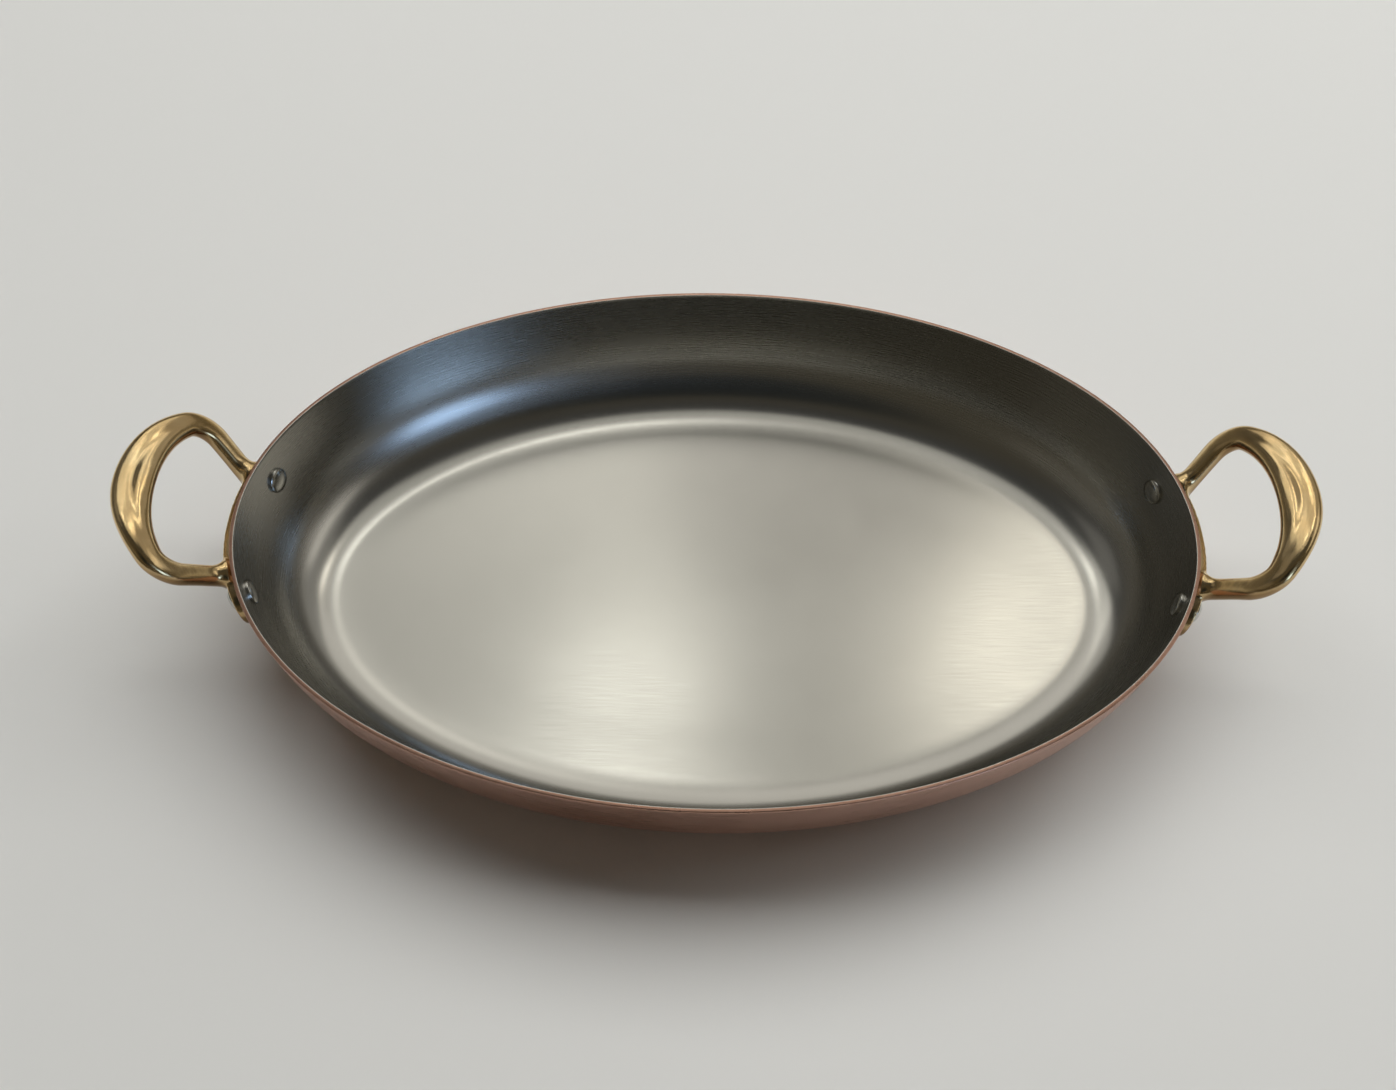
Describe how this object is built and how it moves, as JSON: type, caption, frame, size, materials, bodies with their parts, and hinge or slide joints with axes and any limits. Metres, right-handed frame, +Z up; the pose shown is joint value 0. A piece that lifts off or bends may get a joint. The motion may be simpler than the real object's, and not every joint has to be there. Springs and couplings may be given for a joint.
{
  "type": "oval gratin pan",
  "caption": "Oval copper gratin pan lined with stainless steel, flared wall and flat floor, with a riveted cast bronze loop handle at each end.",
  "frame": {"origin": "on the table under the middle of the pan", "axes": "+X from the left handle to the right handle, +Y to the back, +Z up"},
  "size_m": [0.4228, 0.23, 0.0713],
  "materials": {
    "copper": "satin brushed copper",
    "lining": "satin stainless steel, fine grain along the pan",
    "bronze": "polished cast bronze",
    "rivet": "polished stainless steel"
  },
  "bodies": {
    "root": {"copper_body": "copper", "steel_lining": "lining", "left_handle": "bronze", "right_handle": "bronze", "left_front_rivet": "rivet", "left_back_rivet": "rivet", "right_front_rivet": "rivet", "right_back_rivet": "rivet"}
  },
  "joints": []
}
